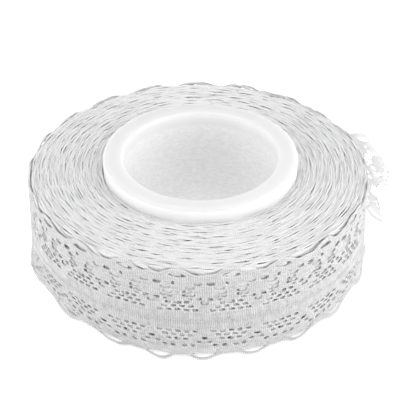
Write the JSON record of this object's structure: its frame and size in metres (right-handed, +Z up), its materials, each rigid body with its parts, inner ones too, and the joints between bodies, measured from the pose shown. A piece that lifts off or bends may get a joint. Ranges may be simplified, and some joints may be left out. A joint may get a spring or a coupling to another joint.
{
  "type": "roll of lace trim",
  "caption": "Scalloped lace trim wound in a flat round roll on a thick milky plastic ring, standing on its end, with its cut end hanging loose.",
  "frame": {"origin": "middle of the base of the part's box, on the surface that the roll stands on", "axes": "+Z up along the roll's axis, +X towards the side where the loose end stands off, +Y towards the back"},
  "size_m": [0.182, 0.1756, 0.056],
  "materials": {
    "core_plastic": "milky translucent plastic, satin",
    "lace": "white knitted lace, matt"
  },
  "bodies": {
    "root": {"core": "core_plastic", "lace_roll": "lace", "loose_end": "lace"}
  },
  "joints": []
}
